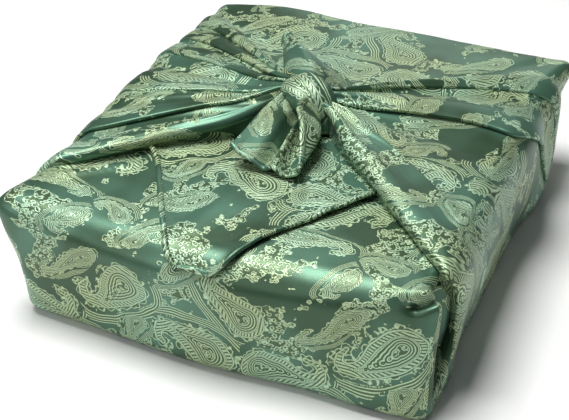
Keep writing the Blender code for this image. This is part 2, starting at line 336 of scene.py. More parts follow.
# %% The wrapped parcel
FACE_STEP = 0.0038
EDGE_CLOSENESS = 0.55
UNEVEN_SIZE = 0.055
UNEVEN_HIGH = 0.0011
RIPPLE_SIZE = 0.016
RIPPLE_HIGH = 0.00035

# Columns: name, axis that the face looks along, sign, the two grid axes.
FACES = (
    ("front", 1, -1, 0, 2),
    ("back", 1, 1, 0, 2),
    ("left", 0, -1, 1, 2),
    ("right", 0, 1, 1, 2),
    ("top", 2, 1, 0, 1),
    ("bottom", 2, -1, 0, 1),
)


def spaced(half):
    """Grid lines from -half to half, closer together near the ends."""
    steps = max(int(2 * half / FACE_STEP), 12)
    place = np.linspace(0, 1, steps + 1)
    place = place - EDGE_CLOSENESS * np.sin(2 * math.pi * place) / (2 * math.pi)
    return (2 * place - 1) * half


def place_on_cloth(name, box_points):
    """Place on the flat cloth of points of one face, before the swell."""
    x, y, z = (box_points[..., axis] for axis in range(3))
    up = HALF_DEPTH + HEIGHT
    if name == "front":
        return np.stack((x, -(HALF_DEPTH + z)), axis=-1)
    if name == "back":
        return np.stack((x, HALF_DEPTH + z), axis=-1)
    if name == "left":
        return np.stack((-(HALF_WIDTH + z), y), axis=-1)
    if name == "right":
        return np.stack((HALF_WIDTH + z, y), axis=-1)
    if name == "bottom":
        return np.stack((x, y), axis=-1)
    near = -(up + y + HALF_DEPTH)
    far = up + HALF_DEPTH - y
    return np.stack((x, np.where(y < 0, near, far)), axis=-1)


def parcel_face(name, axis, sign, first, second):
    half = np.array((HALF_WIDTH, HALF_DEPTH, HEIGHT / 2))
    lines_a = spaced(half[first])
    lines_b = spaced(half[second])
    box = np.zeros((len(lines_a), len(lines_b), 3))
    box[..., axis] = sign * half[axis]
    box[..., first] = lines_a[:, None]
    box[..., second] = lines_b[None, :]
    radius = edge_radius(box[..., 0], box[..., 1], box[..., 2] + HEIGHT / 2)[..., None]
    inner = np.clip(box, radius - half, half - radius)
    outward = box - inner
    outward /= np.linalg.norm(outward, axis=2, keepdims=True)
    skin = inner + outward * radius
    skin[..., 2] += HEIGHT / 2
    box[..., 2] += HEIGHT / 2
    x, y, z = skin[..., 0].copy(), skin[..., 1].copy(), skin[..., 2].copy()
    skin[..., 0] = x * swell_width(y, z) / HALF_WIDTH
    skin[..., 1] = y * swell_depth(x, z) / HALF_DEPTH
    lift = top_height(skin[..., 0], skin[..., 1]) - HEIGHT
    skin[..., 2] = z + lift * (z / HEIGHT) ** 2
    above_floor = ease(skin[..., 2], 0.001, 0.018)
    uneven = UNEVEN_HIGH * rough(skin, UNEVEN_SIZE, 1) + RIPPLE_HIGH * rough(skin, RIPPLE_SIZE, 2)
    move = (uneven - pressed(skin, BODY_CREASES)) * above_floor
    skin = skin + outward * move[..., None]
    skin[..., 2] = np.maximum(skin[..., 2], 0.0)
    add_stretch(skin, place_on_cloth(name, box), outward)


for face in FACES:
    parcel_face(*face)
print("parcel faces", len(stretches))

# %% [markdown]
# A gathered corner is a fan of knife pleats. Each pleat is a strip of its
# own that runs from the knot, over the top edge and down to the foot. Its
# lapping edge is a small roll, and its other edge dives under the next
# strip, so every fold has a lit crest and a dark line beside it. One path
# carries all of them: it gives the height of the fan and its two borders.

# %% Paths and folds of the fans
# Columns: distance out from the middle, height, front edge y, back edge y.
LEFT_FAN = (
    (-0.004, 0.114, -0.008, 0.007),
    (0.014, 0.117, -0.017, 0.016),
    (0.028, 0.115, -0.034, 0.029),
    (0.048, 0.111, -0.054, 0.050),
    (0.075, 0.108, -0.074, 0.079),
    (0.108, 0.104, -0.099, 0.113),
    (0.134, 0.1005, -0.120, 0.139),
    (0.1470, 0.0965, -0.129, 0.152),
    (0.1550, 0.084, -0.136, 0.157),
    (0.1560, 0.050, -0.141, 0.156),
    (0.1540, 0.012, -0.145, 0.155),
    (0.1400, 0.0005, -0.146, 0.153),
)
RIGHT_FAN = (
    (-0.006, 0.113, -0.008, 0.006),
    (0.014, 0.117, -0.017, 0.007),
    (0.028, 0.115, -0.028, 0.023),
    (0.048, 0.111, -0.054, 0.053),
    (0.075, 0.108, -0.080, 0.081),
    (0.108, 0.104, -0.113, 0.112),
    (0.134, 0.1005, -0.142, 0.133),
    (0.1490, 0.0965, -0.156, 0.142),
    (0.1575, 0.084, -0.153, 0.145),
    (0.1575, 0.050, -0.141, 0.144),
    (0.1500, 0.014, -0.164, 0.146),
    (0.1390, 0.0005, -0.170, 0.144),
)

# Folds across a fan. Place 0 is its front edge and 1 its back edge.
# Columns: place at the knot, place at the edge, half width, height at the
# knot, height at the edge, height at the foot.
LEFT_FOLDS = (
    (0.10, 0.045, 0.055, 0.0060, 0.0046, 0.0022),
    (0.40, 0.240, 0.070, 0.0060, 0.0028, 0.0014),
    (0.56, 0.440, 0.110, 0.0050, 0.0022, 0.0020),
    (0.72, 0.700, 0.090, 0.0055, 0.0018, 0.0020),
    (0.85, 0.840, 0.050, 0.0055, 0.0022, 0.0016),
    (0.95, 0.945, 0.035, 0.0065, 0.0030, 0.0018),
    (0.48, 0.340, 0.022, 0.0020, 0.0016, 0.0008),
    (0.63, 0.565, 0.030, -0.0016, -0.0022, -0.0010),
    (0.17, 0.110, 0.020, 0.0010, 0.0014, 0.0008),
    (0.79, 0.770, 0.018, -0.0010, -0.0016, -0.0010),
)
RIGHT_FOLDS = (
    (0.13, 0.075, 0.080, 0.0058, 0.0046, 0.0020),
    (0.40, 0.200, 0.070, 0.0028, 0.0018, 0.0012),
    (0.72, 0.680, 0.100, 0.0060, 0.0050, 0.0022),
    (0.94, 0.945, 0.045, 0.0060, 0.0045, 0.0030),
    (0.22, 0.085, 0.018, -0.0004, -0.0003, -0.0004),
    (0.44, 0.330, 0.060, 0.0010, 0.0022, 0.0016),
    (0.50, 0.480, 0.050, -0.0008, -0.0012, 0.0012),
    (0.84, 0.850, 0.040, -0.0022, -0.0030, -0.0015),
)

# Pleats, front to back. Columns: where the pleat starts at the knot, at the
# edge and at the foot, where it ends there, lift of its start at the three
# places, lift of its end, radius of the roll at its start and at its end.
LEFT_PLEATS = (
    (0.00, 0.000, 0.000, 0.44, 0.250, 0.250, 0.0, 0.0, 0.0, 0.0, 0.0, 0.0, 0.0046, 0.0000),
    (0.38, 0.170, 0.160, 0.58, 0.480, 0.480, 0.0034, 0.0036, 0.0020, 0.0, 0.0, 0.0, 0.0017, 0.0000),
    (0.50, 0.395, 0.400, 0.76, 0.740, 0.740, 0.0026, 0.0018, 0.0010, 0.0, 0.0, 0.0, 0.0015, 0.0000),
    (0.68, 0.655, 0.640, 0.87, 0.850, 0.850, 0.0028, 0.0024, 0.0012, 0.0, 0.0, 0.0, 0.0015, 0.0000),
    (0.80, 0.790, 0.780, 0.95, 0.950, 0.950, 0.0028, 0.0026, 0.0014, 0.0, 0.0, 0.0, 0.0015, 0.0000),
    (0.90, 0.895, 0.900, 1.00, 1.000, 1.000, 0.0030, 0.0028, 0.0016, 0.0, 0.0, 0.0, 0.0018, 0.0040),
)
RIGHT_PLEATS = (
    (0.00, 0.000, 0.000, 0.42, 0.210, 0.200, 0.0, 0.0, 0.0, 0.0022, 0.0026, 0.0012, 0.0042, 0.0015),
    (0.30, 0.120, 0.120, 0.62, 0.690, 0.965, 0.0, 0.0, 0.0, 0.0, 0.0, 0.0, 0.0000, 0.0000),
    (0.47, 0.610, 0.915, 0.95, 0.930, 0.985, 0.0036, 0.0044, 0.0030, 0.0, 0.0, 0.0, 0.0017, 0.0000),
    (0.90, 0.885, 0.950, 1.00, 1.000, 1.000, 0.0036, 0.0018, 0.0012, 0.0, 0.0, 0.0, 0.0015, 0.0040),
)

# Shares of a fan's path, 0 at the knot and 1 at the foot, between which its
# folds spread apart and then die down.
FOLDS_SPREAD = (0.0, 0.55)
FOLDS_DIE = (0.60, 0.95)
CROWN_LEFT = (0.11, 0.15)
SWELL_TAKEN = (0.10, 0.15)
PATH_STEP = 0.01
PLEAT_ROWS = 86
PLEAT_COLUMN = 0.0021
ROLL_POINTS = 7
SKIRT_DROP = 0.014
GATHER_SIZE = (0.045, 0.30)
GATHER_HIGH = (0.0012, 0.0006)


def equal_places(path, count):
    """Places along a path that are equally far apart, and their distances."""
    fine = np.linspace(0, 1, 600)
    walked = curve_through(path, fine)
    middle = np.stack((walked[:, 0], walked[:, 1], (walked[:, 2] + walked[:, 3]) / 2), axis=1)
    steps = np.linalg.norm(np.diff(middle[:, :2], axis=0), axis=1)
    distance = np.concatenate(([0.0], np.cumsum(steps)))
    wanted = np.linspace(0, distance[-1], count)
    return np.interp(wanted, distance, fine)


def by_station(knot, edge, foot, spread, fall):
    return blend(blend(knot, edge, spread), foot, fall)


def fold_height(folds, spread, fall, across):
    """Height of a fan's folds over its base."""
    height = np.zeros(np.broadcast(spread, across).shape)
    for knot_place, edge_place, width, knot_high, edge_high, foot_high in folds:
        place = blend(knot_place, edge_place, spread)
        high = by_station(knot_high, edge_high, foot_high, spread, fall)
        height += high * np.exp(-(((across - place) / width) ** 2))
    return height


def roll(radius, count, at_start):
    """Offsets across and up of a lapping edge, from under it to its crest."""
    turn = np.linspace(0, 1, count)[None, :]
    angle = -math.pi / 2 - math.pi * turn
    across = radius * np.cos(angle)
    up = radius * np.sin(angle) - radius
    if at_start:
        return across + radius, up
    return (-across - radius)[:, ::-1], up[:, ::-1]


def pleat(path, side, folds, row, seed):
    """One strip of a gathered corner, from the knot to the foot."""
    start_places, end_places = row[0:3], row[3:6]
    start_lift, end_lift = row[6:9], row[9:12]
    start_roll, end_roll = row[12:14]
    along = equal_places(path, PLEAT_ROWS)[:, None]
    spread = ease(along, *FOLDS_SPREAD)
    fall = ease(along, *FOLDS_DIE)
    out, high, front, back = (v[..., None] for v in curve_through(path, along[:, 0]).T)
    ahead = curve_through(path, along[:, 0] + PATH_STEP)
    behind = curve_through(path, along[:, 0] - PATH_STEP)
    run = ahead - behind
    steep = np.hypot(run[:, 0], run[:, 1])[:, None]
    outward_x = -run[:, 1][:, None] / steep
    outward_z = run[:, 0][:, None] / steep
    span = back - front
    start = by_station(*start_places, spread, fall)
    end = by_station(*end_places, spread, fall)
    width = (end - start) * span
    radius_a = np.minimum(start_roll, 0.35 * width)
    radius_b = np.minimum(end_roll, 0.35 * width)
    columns = max(int(width.max() / PLEAT_COLUMN), 8)
    inner = np.linspace(0, 1, columns + 1)[None, :]
    flat = radius_a + inner * (width - radius_a - radius_b)

    def surface(place_across):
        share = place_across / width
        across = start + place_across / span
        lift_a = by_station(*start_lift, spread, fall) * (1 - share) ** 2
        lift_b = by_station(*end_lift, spread, fall) * share**2
        return fold_height(folds, spread, fall, across) + lift_a + lift_b

    places = [flat]
    heights = [surface(flat)]
    if start_roll:
        roll_across, roll_up = roll(radius_a, ROLL_POINTS, True)
        crest = surface(radius_a)
        places.insert(0, roll_across[:, :-1])
        heights.insert(0, crest + roll_up[:, :-1])
    if end_roll:
        roll_across, roll_up = roll(radius_b, ROLL_POINTS, False)
        crest = surface(width - radius_b)
        places.append(width + roll_across[:, 1:])
        heights.append(crest + roll_up[:, 1:])
    if start_places[0] == 0:
        places.insert(0, places[0][:, :1] + 0.001)
        heights.insert(0, heights[0][:, :1] - SKIRT_DROP)
    if end_places[0] == 1:
        places.append(places[-1][:, -1:] - 0.001)
        heights.append(heights[-1][:, -1:] - SKIRT_DROP)
    place_across = np.concatenate(places, axis=1)
    height = np.concatenate(heights, axis=1)
    across = start + place_across / span
    y = blend(front, back, across)
    hang = ease(out, *SWELL_TAKEN)
    crown_share = 1 - ease(out, *CROWN_LEFT)
    base_x = out + (swell_width(y, high) - HALF_WIDTH) * hang
    base_z = high + (top_height(out, y) - HEIGHT) * crown_share
    grain = np.stack((across / GATHER_SIZE[0], along / GATHER_SIZE[1] + 0 * across, 0 * across), axis=-1)
    gather = rough(grain, 1.0, seed) * blend(GATHER_HIGH[0], GATHER_HIGH[1], spread) * (1 - 0.5 * fall)
    height = height + gather
    skin = np.stack(
        (
            side * (base_x + outward_x * height),
            y + 0 * height,
            np.maximum(base_z + outward_z * height, LOWEST),
        ),
        axis=-1,
    )
    outward = np.stack((side * outward_x + 0 * y, 0 * y, outward_z + 0 * y), axis=-1)
    middle = skin.shape[1] // 2
    walked = lengths_along(skin, 0)[:, middle : middle + 1]
    step = np.gradient(skin[:, middle], axis=0)
    slant = (step[:, 1] / np.linalg.norm(step, axis=1))[:, None]
    sideways = lengths_along(skin, 1)
    sideways = sideways - sideways[:, middle : middle + 1]
    from_foot = walked[-1] - walked
    cloth_p = side * (HALF_WIDTH + from_foot - sideways * slant)
    cloth_q = sideways * np.sqrt(1 - slant**2) + blend(front, back, (start + end) / 2)[-1]
    places = np.stack((cloth_p + 0 * cloth_q, cloth_q + 0 * cloth_p), axis=-1)
    add_stretch(skin, places, outward)
    return skin, places


left_strips = [
    pleat(LEFT_FAN, -1, LEFT_FOLDS, row, 11 + index) for index, row in enumerate(LEFT_PLEATS)
]
right_strips = [
    pleat(RIGHT_FAN, 1, RIGHT_FOLDS, row, 31 + index) for index, row in enumerate(RIGHT_PLEATS)
]
print("pleats", len(left_strips), "and", len(right_strips))

# %% [markdown]
# A free stretch of cloth needs two sides and an edge. A Solidify modifier
# would do it, but the stretches are grids already, so the second side is the
# same grid moved along its normals, and a narrow grid closes the rim.

# %% Thin cloth with two sides
THIN_CLOTH = 0.0009


def add_thin_stretch(points, cloth_places):
    """Keeps both sides and the rim of a grid of points."""
    normals = grid_normals(points)
    upper = points + normals * THIN_CLOTH / 2
    lower = points - normals * THIN_CLOTH / 2
    add_stretch(upper, cloth_places, normals)
    add_stretch(lower, cloth_places, -normals)
    edges = (
        (upper[0], lower[0], cloth_places[0]),
        (upper[-1][::-1], lower[-1][::-1], cloth_places[-1][::-1]),
        (upper[::-1, 0], lower[::-1, 0], cloth_places[::-1, 0]),
        (upper[:, -1], lower[:, -1], cloth_places[:, -1]),
    )
    middle = points.reshape(-1, 3).mean(axis=0)
    for top_line, low_line, flat_line in edges:
        rim = np.stack((top_line, low_line))
        away = rim - middle
        add_stretch(rim, np.stack((flat_line, flat_line)), away)
    return points, cloth_places


# %% [markdown]
# The far corner of the cloth lies over the top as a pointed flap. It is a
# grid between its two hems, a little above the parcel, and it bends over the
# front edge with it. Its borders stand up slightly, because a rolled hem is
# stiffer than the cloth.

# %% The folded-over corner
# Columns: distance forward of the middle, left edge x, right edge x.
FLAP = (
    (0.020, -0.060, 0.052),
    (0.050, -0.082, 0.070),
    (0.076, -0.097, 0.084),
    (0.100, -0.081, 0.073),
    (0.132, -0.063, 0.052),
    (0.162, -0.046, 0.031),
    (0.180, -0.035, 0.021),
    (0.192, -0.027, 0.014),
    (0.199, -0.017, 0.006),
)
FLAP_ROWS = 76
FLAP_COLUMNS = 54
FLAP_LIFT = 0.0010
FLAP_BORDER_LIFT = 0.0030
FLAP_BORDER = 0.07
FLAP_WAVE_SIZE = 0.020
FLAP_WAVE_HIGH = 0.0024
# Columns: points of the crease, half width, depth.
FLAP_CREASES = (
    (((-0.020, -0.060, 0.100), (-0.024, -0.090, 0.099), (-0.030, -0.115, 0.098)), 0.0030, 0.0009),
    (((0.010, -0.065, 0.100), (-0.006, -0.105, 0.099), (-0.020, -0.165, 0.096)), 0.0100, -0.0016),
    (((0.045, -0.090, 0.100), (0.018, -0.125, 0.099), (0.002, -0.160, 0.096)), 0.0080, 0.0012),
    (((-0.085, -0.080, 0.100), (-0.055, -0.110, 0.099), (-0.035, -0.150, 0.097)), 0.0090, 0.0012),
)


def front_edge(x, forward):
    """Skin of the parcel at a distance forward of the middle, over the top edge."""
    radius = edge_radius(x, -HALF_DEPTH, HEIGHT)
    edge = swell_depth(x, HEIGHT) - radius
    past = forward - edge
    angle = np.clip(past / radius, 0.0, math.pi / 2)
    down = np.maximum(past - radius * angle, 0.0)
    over = past > 0
    y = np.where(over, -edge - radius * np.sin(angle), -forward)
    top = top_height(x, np.where(over, -edge, -forward))
    z = top - radius * (1 - np.cos(angle)) - down
    outward = np.stack((0 * y, -np.sin(angle), np.cos(angle)), axis=-1)
    return np.stack((x, y, z), axis=-1), outward


def flap():
    forward, left, right = (v[:, None] for v in curve_through(FLAP, np.linspace(0, 1, FLAP_ROWS)).T)
    share = np.linspace(0, 1, FLAP_COLUMNS)[None, :]
    x = blend(left, right, share)
    ground, outward = front_edge(x, forward + 0 * x)
    border = np.exp(-share / FLAP_BORDER) + np.exp(-(1 - share) / FLAP_BORDER)
    uneven = UNEVEN_HIGH * 0.6 * rough(ground, 0.03, 5) - pressed(ground, FLAP_CREASES)
    lift = FLAP_LIFT + FLAP_BORDER_LIFT * border + uneven
    wave = FLAP_WAVE_HIGH * rough(ground, FLAP_WAVE_SIZE, 6) * border
    points = ground + outward * np.maximum(lift + wave, 0.0006)[..., None]
    up = HALF_DEPTH + HEIGHT
    places = np.stack((x, up + HALF_DEPTH + forward + 0 * x), axis=-1)
    return add_thin_stretch(points, places)


flap_skin = flap()
print("flap", flap_skin[0].shape)

# %% [markdown]
# The knot hides most of the cloth inside it. What shows is a broad turn over
# the top, a shoulder where each gathered corner dives in, and a filled core
# between them. Each is a tube through a few listed stations, with creases
# that run along it as they do where cloth is pulled tight.

# %% The knot
KNOT_MIDDLE = np.array((0.000, -0.001, 0.1155))
KNOT_HALF_SIZE = np.array((0.0190, 0.0180, 0.0160))
TURN_ALONG = 44
TURN_AROUND = 56

# Columns: x, y, z, half width across, half thickness.
KNOT_CAP = (
    (-0.018, 0.009, 0.106, 0.010, 0.009),
    (-0.013, 0.005, 0.1195, 0.0145, 0.010),
    (-0.004, -0.003, 0.1265, 0.0180, 0.0110),
    (0.007, -0.010, 0.1225, 0.0180, 0.0110),
    (0.013, -0.015, 0.1120, 0.0150, 0.0100),
    (0.014, -0.017, 0.1010, 0.0100, 0.0080),
)
BACK_SHOULDER = (
    (-0.008, 0.012, 0.112, 0.007, 0.007),
    (0.004, 0.012, 0.116, 0.010, 0.008),
    (0.014, 0.008, 0.115, 0.010, 0.008),
    (0.023, 0.003, 0.110, 0.009, 0.007),
    (0.031, 0.000, 0.106, 0.006, 0.005),
)
LEFT_SHOULDER = (
    (-0.040, -0.001, 0.110, 0.007, 0.005),
    (-0.031, 0.000, 0.113, 0.009, 0.006),
    (-0.022, 0.000, 0.116, 0.010, 0.007),
    (-0.012, 0.000, 0.117, 0.009, 0.007),
    (-0.002, 0.000, 0.114, 0.006, 0.006),
)
CREASE_COUNT = 7
CREASE_DEEP = 0.0016
CREASE_TWIST = 1.1


def turn_of_cloth(stations, seed, cloth_offset):
    """A gathered band of cloth as a tube, with creases along it."""
    along = np.linspace(0, 1, TURN_ALONG)
    rows = curve_through(stations, along)
    centre, wide, thick = rows[:, :3], rows[:, 3:4], rows[:, 4:5]
    run = np.gradient(centre, axis=0)
    run /= np.linalg.norm(run, axis=1, keepdims=True)
    sideways = np.stack((-run[:, 1], run[:, 0], 0 * run[:, 0]), axis=1)
    sideways /= np.linalg.norm(sideways, axis=1, keepdims=True)
    up = np.cross(run, sideways)
    up *= np.where((up[:, 2:3] < 0).all(), -1, 1)
    angle = np.linspace(0, 2 * math.pi, TURN_AROUND + 1)[None, :, None]
    swing = sideways[:, None] * np.cos(angle) * wide[:, None]
    swing = swing + up[:, None] * np.sin(angle) * thick[:, None]
    outward = swing / np.linalg.norm(swing, axis=2, keepdims=True)
    around = angle[..., 0] + CREASE_TWIST * along[:, None]
    level = along[:, None] * 0.8 + 0 * around
    circle = np.stack((np.cos(around) * 1.6, np.sin(around) * 1.6, level), axis=-1)
    folds = np.abs(rough(circle, 1.0, seed)) + 0.5 * np.abs(rough(circle, 0.45, seed + 1))
    points = centre[:, None] + swing - outward * (CREASE_DEEP * (1 - 2.4 * folds))[..., None]
    walked = np.concatenate(([0.0], np.cumsum(np.linalg.norm(np.diff(centre, axis=0), axis=1))))
    round_it = (angle[..., 0] / math.pi - 0.5) * (wide + thick)
    places = np.stack((walked[:, None] + 0 * round_it, round_it), axis=-1) + np.array(cloth_offset)
    add_stretch(points, places, outward)
    return points


def knot_core():
    turn = np.linspace(0, 2 * math.pi, 41)[None, :]
    rise = np.linspace(-math.pi / 2, math.pi / 2, 21)[:, None]
    ball = np.stack(
        (np.cos(rise) * np.cos(turn), np.cos(rise) * np.sin(turn), np.sin(rise) + 0 * turn), axis=-1
    )
    points = KNOT_MIDDLE + KNOT_HALF_SIZE * ball
    add_stretch(points, np.stack((turn * 0.02 + 0 * rise, rise * 0.02 + 0 * turn), axis=-1), ball)


knot_core()
cap_skin = turn_of_cloth(KNOT_CAP, 51, (0.405, 0.055))
turn_of_cloth(BACK_SHOULDER, 53, (0.47, 0.10))
turn_of_cloth(LEFT_SHOULDER, 55, (0.40, -0.12))
print("knot of three turns")

# %% [markdown]
# The two tails are the ends of the gathered corners. The front one opens out
# like a rolled leaf: a flat lip on its left, a bright hollow, two deep pleats
# and a wall that curls over from the right. Listed cross sections carry
# that shape, and small radiating creases go on top.

# %% The tails
# Each row is one cross section, from the knot to the hem: left lip, strip,
# wall, hollow, inner pleat, second hollow, right wall and right lip.
FRONT_TAIL = (
    (
        (-0.0125, 0.001, 0.1290),
        (-0.0105, -0.002, 0.1240),
        (-0.0060, -0.005, 0.1170),
        (-0.0020, -0.006, 0.1130),
        (0.0020, -0.006, 0.1150),
        (0.0050, -0.005, 0.1120),
        (0.0110, -0.004, 0.1180),
        (0.0050, -0.003, 0.1260),
    ),
    (
        (-0.0240, -0.032, 0.1215),
        (-0.0165, -0.033, 0.1210),
        (-0.0070, -0.035, 0.1180),
        (-0.0010, -0.037, 0.1085),
        (0.0025, -0.036, 0.1150),
        (0.0080, -0.034, 0.1065),
        (0.0190, -0.029, 0.1175),
        (0.0030, -0.033, 0.1300),
    ),
    (
        (-0.0265, -0.060, 0.1175),
        (-0.0195, -0.062, 0.1165),
        (-0.0085, -0.065, 0.1140),
        (-0.0010, -0.067, 0.1040),
        (0.0040, -0.066, 0.1110),
        (0.0120, -0.063, 0.1030),
        (0.0270, -0.052, 0.1150),
        (0.0140, -0.056, 0.1270),
    ),
    (
        (-0.0285, -0.083, 0.1155),
        (-0.0215, -0.087, 0.1125),
        (-0.0115, -0.089, 0.1095),
        (-0.0005, -0.090, 0.1045),
        (0.0065, -0.091, 0.1075),
        (0.0150, -0.091, 0.1030),
        (0.0240, -0.091, 0.1060),
        (0.0280, -0.090, 0.1115),
    ),
)
BACK_TAIL = (
    (
        (-0.009, 0.004, 0.112),
        (-0.008, 0.004, 0.117),
        (-0.003, 0.005, 0.121),
        (0.004, 0.005, 0.117),
        (0.008, 0.004, 0.112),
    ),
    (
        (-0.034, 0.030, 0.108),
        (-0.029, 0.032, 0.119),
        (-0.014, 0.036, 0.126),
        (0.006, 0.040, 0.114),
        (0.018, 0.040, 0.102),
    ),
    (
        (-0.047, 0.062, 0.106),
        (-0.043, 0.064, 0.116),
        (-0.032, 0.068, 0.123),
        (-0.014, 0.070, 0.111),
        (0.002, 0.072, 0.101),
    ),
    (
        (-0.062, 0.096, 0.110),
        (-0.062, 0.098, 0.115),
        (-0.060, 0.102, 0.119),
        (-0.053, 0.099, 0.111),
        (-0.044, 0.096, 0.102),
    ),
)
TAIL_ROWS = 48
TAIL_COLUMNS = 48
TAIL_CREASE = 0.0011


def tail(sections, seed, cloth_offset):
    """A free end of the cloth through its cross sections."""
    along = np.linspace(0, 1, TAIL_ROWS)
    lines = curve_through(np.asarray(sections, float), along)
    across = np.linspace(0, 1, TAIL_COLUMNS)
    points = np.stack([curve_through(line, across) for line in lines])
    rays = np.stack(
        (
            across[None, :] * 9 + 0 * along[:, None],
            along[:, None] * 1.2 + 0 * across[None, :],
            0 * along[:, None] + 0 * across[None, :],
        ),
        axis=-1,
    )
    fold = rough(rays, 1.0, seed) + 0.5 * rough(rays, 0.5, seed + 1)
    strong = ease(along, 0.0, 0.2) * (1 - 0.45 * along)
    points = points + grid_normals(points) * (TAIL_CREASE * fold * strong[:, None])[..., None]
    walked = lengths_along(points, 0)
    sideways = lengths_along(points, 1)
    middle = TAIL_COLUMNS // 2
    places = np.stack(
        (walked[:, middle : middle + 1] + 0 * sideways, sideways - sideways[:, middle : middle + 1]),
        axis=-1,
    )
    return add_thin_stretch(points, places + np.array(cloth_offset))


front_tail_skin = tail(FRONT_TAIL, 61, (0.45, 0.10))
back_tail_skin = tail(BACK_TAIL, 63, (-0.47, 0.05))
print("tails", front_tail_skin[0].shape)

# %% [markdown]
# The edge of a furoshiki is rolled under and sewn. Where an edge shows, a flat
# tube lies along it: half as high as wide, a little uneven, with the pattern
# running on round it. A bevelled curve would give the tube, but this way the
# hem stays part of the same cloth. The line of its stitches is kept for later.

# %% Rolled hems
HEM_HALF_WIDTH = 0.0025
HEM_HALF_HIGH = 0.0017
HEM_AROUND = 12
HEM_UNEVEN = 0.25
HEM_LUMP = 0.012
stitch_lines = []


def unit(rows):
    return rows / np.maximum(np.linalg.norm(rows, axis=-1, keepdims=True), 1e-12)


def add_hem(line, inward, normal, places):
    """Lays a rolled hem on an edge of the cloth and keeps its line of stitches."""
    angle = np.linspace(0, 2 * math.pi, HEM_AROUND + 1)[None, :, None]
    plump = 1 + HEM_UNEVEN * rough(line, HEM_LUMP, 71)[:, None, None]
    outward = inward[:, None] * np.cos(angle) * HEM_HALF_WIDTH * plump
    outward = outward + normal[:, None] * np.sin(angle) * HEM_HALF_HIGH * plump
    centre = line + inward * HEM_HALF_WIDTH * 0.8
    ring = centre[:, None] + outward
    across = np.cos(angle[..., 0]) * HEM_HALF_WIDTH + 0 * plump[..., 0]
    flat = places[:, None] + np.stack((across, across), axis=-1)
    add_stretch(ring, flat, outward)
    for side in (-1, 1):
        seam = centre + inward * HEM_HALF_WIDTH * 0.75 + normal * side * HEM_HALF_HIGH * 0.70
        stitch_lines.append(pulled(seam))


def hem_edge(points, places, edge):
    """Hems one edge of a grid of points: its first or last column, or its last row."""
    normals = grid_normals(points)
    if edge == "first":
        line, next_line, normal, flat = points[:, 0], points[:, 3], normals[:, 0], places[:, 0]
    elif edge == "last":
        line, next_line, normal, flat = points[:, -1], points[:, -4], normals[:, -1], places[:, -1]
    else:
        line, next_line, normal, flat = points[-1], points[-4], normals[-1], places[-1]
    add_hem(line, unit(next_line - line), normal, flat)


for skin, places, edges in (
    (*flap_skin, ("first", "last", "end")),
    (*front_tail_skin, ("last", "end")),
    (*back_tail_skin, ("last", "end")),
):
    for edge in edges:
        hem_edge(skin, places, edge)

# The edge of the cloth comes down the side of the parcel in front of the
# right fan, from the top edge to the foot.
BORDER_ROWS = slice(49, None)
BORDER_COLUMN = 4
border_skin, border_places = right_strips[0]
border_line = border_skin[BORDER_ROWS, BORDER_COLUMN]
border_next = border_skin[BORDER_ROWS, BORDER_COLUMN + 4]
border_normal = grid_normals(border_skin)[BORDER_ROWS, BORDER_COLUMN + 3]
border_inward = unit(border_next - border_line)
add_hem(border_line, border_inward, border_normal, border_places[BORDER_ROWS, BORDER_COLUMN])
print("hemmed edges", len(stitch_lines) // 2)

# %% [markdown]
# Now the stretches become one mesh. Their grids give the faces, the kept
# places give the UV map, and points that coincide are merged, so the faces of
# the parcel are joined at its edges.

# %% Join the cloth
MERGE_DISTANCE = 0.00002


def join_stretches(name):
    points, faces, flat = [], [], []
    first = 0
    for grid, places in stretches:
        rows, columns = grid.shape[:2]
        points.append(grid.reshape(-1, 3))
        flat.append(places.reshape(-1, 2))
        index = first + np.arange(rows * columns).reshape(rows, columns)
        quads = np.stack((index[:-1, :-1], index[:-1, 1:], index[1:, 1:], index[1:, :-1]), axis=-1)
        faces.append(quads.reshape(-1, 4))
        first += rows * columns
    mesh = bpy.data.meshes.new(name)
    mesh.from_pydata(np.concatenate(points).tolist(), [], np.concatenate(faces).tolist())
    layer = mesh.uv_layers.new(name="cloth")
    corner = np.empty(len(mesh.loops), dtype=np.int32)
    mesh.loops.foreach_get("vertex_index", corner)
    layer.data.foreach_set("uv", np.concatenate(flat)[corner].astype(np.float32).ravel())
    made = bpy.data.objects.new(name, mesh)
    bpy.context.scene.collection.objects.link(made)
    return made


def weld(made):
    shape = bmesh.new()
    shape.from_mesh(made.data)
    bmesh.ops.remove_doubles(shape, verts=shape.verts[:], dist=MERGE_DISTANCE)
    bmesh.ops.dissolve_degenerate(shape, edges=shape.edges[:], dist=1e-7)
    shape.to_mesh(made.data)
    shape.free()
    made.data.shade_smooth()


cloth = join_stretches("wrapping_cloth")
weld(cloth)
print("cloth faces", len(cloth.data.polygons))

# %% [markdown]
# The woven pattern is drawn by the shader, from the place of each point on
# the flat cloth. Shader maths reads best as ordinary formulas, so one small
# class lets a socket stand in an expression.

# %% A socket that takes part in formulas


